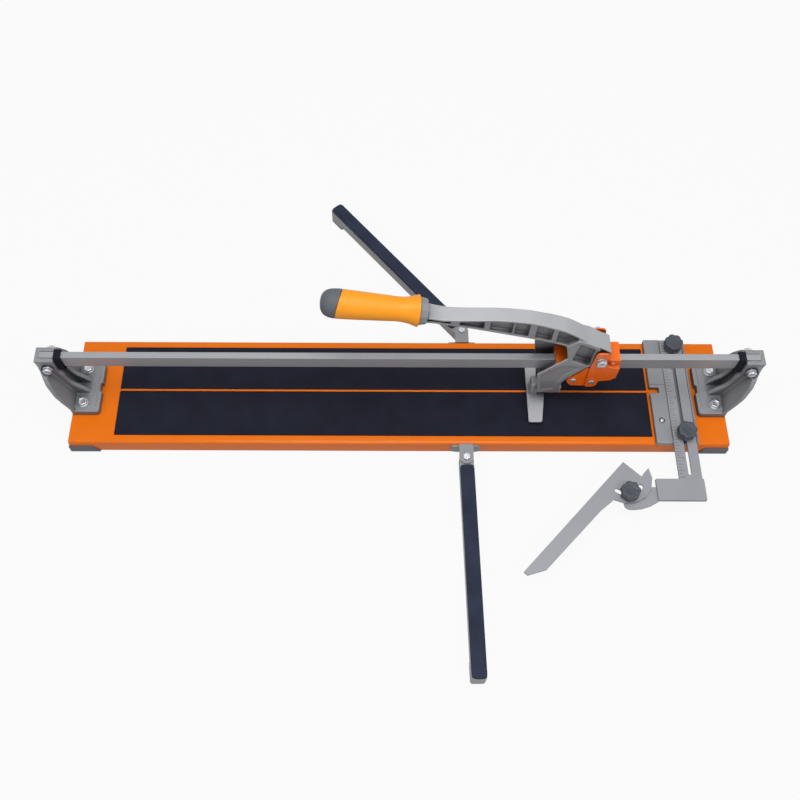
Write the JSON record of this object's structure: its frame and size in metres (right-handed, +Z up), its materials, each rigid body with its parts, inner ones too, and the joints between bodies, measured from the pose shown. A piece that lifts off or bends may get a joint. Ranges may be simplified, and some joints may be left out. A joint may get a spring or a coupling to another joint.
{
  "type": "tile cutter",
  "caption": "Rail tile cutter: steel bed with ridge and pads, rolling carriage, scoring lever with breaker foot, swing-out arms and sliding ruler with angle stop.",
  "frame": {"origin": "middle of the breaking ridge's flat crest, in the plane of the tile bed", "axes": "+X along the rail towards the fence and ruler, +Y to the rear, +Z up from the bed"},
  "size_m": [1.042, 0.7885, 0.2956],
  "materials": {
    "orange_paint": "gloss",
    "carriage_paint": "gloss",
    "pad_rubber": "matte",
    "arm_foam": "matte",
    "cast_metal": "satin",
    "zinc_sheet": "satin",
    "aluminium": "satin",
    "bright_steel": "gloss",
    "dark_steel": "satin",
    "grey_plastic": "matte",
    "knob_plastic": "satin",
    "grip_orange": "satin",
    "nylon": "satin"
  },
  "bodies": {
    "bed": {"base_tray": "orange_paint", "breaking_ridge": "orange_paint", "front_pad": "pad_rubber", "rear_pad": "pad_rubber", "foot_front_left": "grey_plastic", "foot_front_right": "grey_plastic", "foot_rear_left": "grey_plastic", "foot_rear_right": "grey_plastic", "rail": "bright_steel", "bracket_left": "cast_metal", "bracket_right": "cast_metal", "rail_buffer_left": "pad_rubber", "rail_buffer_right": "pad_rubber", "bracket_bolt_left_front": "bright_steel", "bracket_bolt_left_rear": "bright_steel", "bracket_bolt_right_front": "bright_steel", "bracket_bolt_right_rear": "bright_steel", "rail_clamp_bolt_left": "bright_steel", "rail_clamp_bolt_right": "bright_steel", "front_clevis": "zinc_sheet", "rear_clevis": "zinc_sheet", "front_arm_bolt": "bright_steel", "rear_arm_bolt": "bright_steel", "fence_guide": "cast_metal"},
    "front_arm": {"front_arm_channel": "zinc_sheet", "front_arm_foam": "arm_foam", "front_arm_foot": "grey_plastic"},
    "rear_arm": {"rear_arm_channel": "zinc_sheet", "rear_arm_foam": "arm_foam", "rear_arm_foot": "grey_plastic"},
    "carriage": {"carriage_housing": "carriage_paint", "carriage_cheek_front": "carriage_paint", "carriage_cheek_rear": "carriage_paint", "rail_guide_pad": "nylon", "lower_axle_left": "bright_steel", "lower_axle_right": "bright_steel", "upper_axle": "bright_steel", "lever_pivot_bolt": "bright_steel", "lever_pivot_nut": "bright_steel"},
    "lower_left_roller": {"lower_bearing_left": "bright_steel"},
    "lower_right_roller": {"lower_bearing_right": "bright_steel"},
    "upper_roller": {"upper_bearing": "bright_steel"},
    "lever": {"lever_casting": "aluminium", "grip_sleeve": "grip_orange", "grip_cap": "grey_plastic", "grip_collar": "cast_metal", "wheel_holder": "dark_steel", "wheel_axle": "bright_steel", "breaker_pin": "bright_steel"},
    "cutting_wheel": {"scoring_wheel": "bright_steel"},
    "breaker": {"breaker_foot": "aluminium", "breaker_sole": "pad_rubber"},
    "ruler": {"ruler_bar": "aluminium", "ruler_head": "aluminium"},
    "angle_stop": {"angle_arm": "aluminium"},
    "rear_knob": {"ruler_knob_rear": "knob_plastic"},
    "front_knob": {"ruler_knob_front": "knob_plastic"},
    "stop_knob": {"angle_knob": "knob_plastic"}
  },
  "joints": [
    {"name": "carriage_slide", "type": "slide", "parent": "bed", "child": "carriage", "axis": [1, 0, 0], "range_m": [-0.625, 0.16]},
    {"name": "lower_left_spin", "type": "hinge", "parent": "carriage", "child": "lower_left_roller", "pos_m": [0.252, 0, 0.0715], "axis": [0, 1, 0], "continuous": true},
    {"name": "lower_right_spin", "type": "hinge", "parent": "carriage", "child": "lower_right_roller", "pos_m": [0.278, 0, 0.0715], "axis": [0, 1, 0], "continuous": true},
    {"name": "upper_spin", "type": "hinge", "parent": "carriage", "child": "upper_roller", "pos_m": [0.301, 0, 0.114], "axis": [0, 1, 0], "continuous": true},
    {"name": "lever_hinge", "type": "hinge", "parent": "carriage", "child": "lever", "pos_m": [0.2805, 0, 0.1315], "axis": [0, 1, 0], "range_deg": [0, 26]},
    {"name": "wheel_spin", "type": "hinge", "parent": "lever", "child": "cutting_wheel", "pos_m": [0.226, 0, 0.014], "axis": [0, 1, 0], "continuous": true},
    {"name": "breaker_rock", "type": "hinge", "parent": "lever", "child": "breaker", "pos_m": [0.2025, 0, 0.0285], "axis": [1, 0, 0], "range_deg": [-2.5, 2.5]},
    {"name": "front_arm_swing", "type": "hinge", "parent": "bed", "child": "front_arm", "pos_m": [0.1, -0.109, -0.0045], "axis": [0, 0, 1], "range_deg": [-91, 89]},
    {"name": "rear_arm_swing", "type": "hinge", "parent": "bed", "child": "rear_arm", "pos_m": [0.1, 0.109, -0.0045], "axis": [0, 0, 1], "range_deg": [-130, 50]},
    {"name": "ruler_slide", "type": "slide", "parent": "bed", "child": "ruler", "axis": [0, 1, 0], "range_m": [-0.004, 0.045]},
    {"name": "angle_swing", "type": "hinge", "parent": "ruler", "child": "angle_stop", "pos_m": [0.3285, -0.146, 0.0048], "axis": [0, 0, 1], "range_deg": [-46.7, 38]},
    {"name": "rear_knob_turn", "type": "hinge", "parent": "bed", "child": "rear_knob", "pos_m": [0.424, 0.0742, 0.0125], "axis": [0, 0, 1], "continuous": true},
    {"name": "front_knob_turn", "type": "hinge", "parent": "bed", "child": "front_knob", "pos_m": [0.424, -0.0742, 0.0125], "axis": [0, 0, 1], "continuous": true},
    {"name": "stop_knob_turn", "type": "hinge", "parent": "ruler", "child": "stop_knob", "pos_m": [0.3295, -0.16998, 0.0125], "axis": [0, 0, 1], "continuous": true}
  ],
  "couplings": [
    {"joint": "lower_left_spin", "follows": "carriage_slide", "rad_per_m": -90.909},
    {"joint": "lower_right_spin", "follows": "carriage_slide", "rad_per_m": -90.909},
    {"joint": "upper_spin", "follows": "carriage_slide", "rad_per_m": 153.85}
  ]
}
